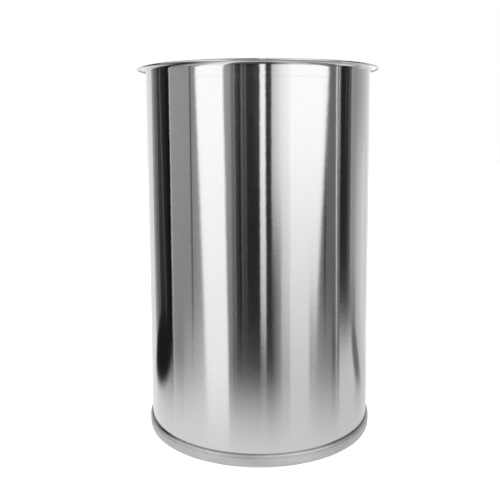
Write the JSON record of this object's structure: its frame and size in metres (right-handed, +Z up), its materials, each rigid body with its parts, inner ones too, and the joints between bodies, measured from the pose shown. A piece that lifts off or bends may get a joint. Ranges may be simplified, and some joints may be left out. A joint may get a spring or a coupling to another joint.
{
  "type": "chimney charcoal starter",
  "caption": "Tall open steel cylinder with a curled rim and base hoop, an inner wire grate, and a shielded grip handle and wire bail at the rear, for lighting charcoal.",
  "frame": {"origin": "middle of the whole object's footprint, on the surface that it stands on; the barrel's centre line is 32.7 mm in front of it (-Y)", "axes": "+Z up along the barrel, +Y to the rear where the handle is, +X to the right seen from the front"},
  "size_m": [0.2052, 0.2706, 0.308],
  "materials": {
    "brushed_stainless": "bright, fine brushing round the barrel",
    "hoop_steel": "satin grey",
    "satin_steel": "satin",
    "plated_wire": "plated wire, semi-bright",
    "hardware": "zinc plated fasteners",
    "grip": "matt black heat-resistant moulding"
  },
  "bodies": {
    "barrel": {"shell": "brushed_stainless", "rim_ring": "brushed_stainless", "base_hoop": "hoop_steel", "grate_lug_1": "satin_steel", "grate_lug_2": "satin_steel", "grate_lug_3": "satin_steel", "grate_lug_4": "satin_steel", "heat_shield": "brushed_stainless", "shield_spacer_1": "hardware", "shield_spacer_2": "hardware", "shield_spacer_3": "hardware", "shield_spacer_4": "hardware", "shield_screw_1": "hardware", "shield_screw_2": "hardware", "shield_screw_3": "hardware", "shield_screw_4": "hardware", "shield_nut_1": "hardware", "shield_nut_2": "hardware", "shield_nut_3": "hardware", "shield_nut_4": "hardware", "handle_bracket": "satin_steel", "bracket_rivet_1": "hardware", "bracket_rivet_2": "hardware", "bracket_rivet_3": "hardware", "bracket_rivet_4": "hardware", "grip_outer_scale": "grip", "grip_inner_scale": "grip", "grip_screw_lower": "hardware", "grip_screw_upper": "hardware", "grip_nut_lower": "hardware", "grip_nut_upper": "hardware", "bail_ear_left": "satin_steel", "bail_ear_right": "satin_steel", "ear_rivet_1": "hardware", "ear_rivet_2": "hardware", "ear_rivet_3": "hardware", "ear_rivet_4": "hardware"},
    "bail": {"bail_wire": "plated_wire"},
    "grate": {"charcoal_grate": "plated_wire"}
  },
  "joints": [
    {"name": "bail_hinge", "type": "hinge", "parent": "barrel", "child": "bail", "pos_m": [0, 0.0673, 0.28], "axis": [1, 0, 0], "range_deg": [0, 148]},
    {"name": "grate_lift", "type": "slide", "parent": "barrel", "child": "grate", "axis": [0, 0, 1], "range_m": [0, 0.26]}
  ]
}
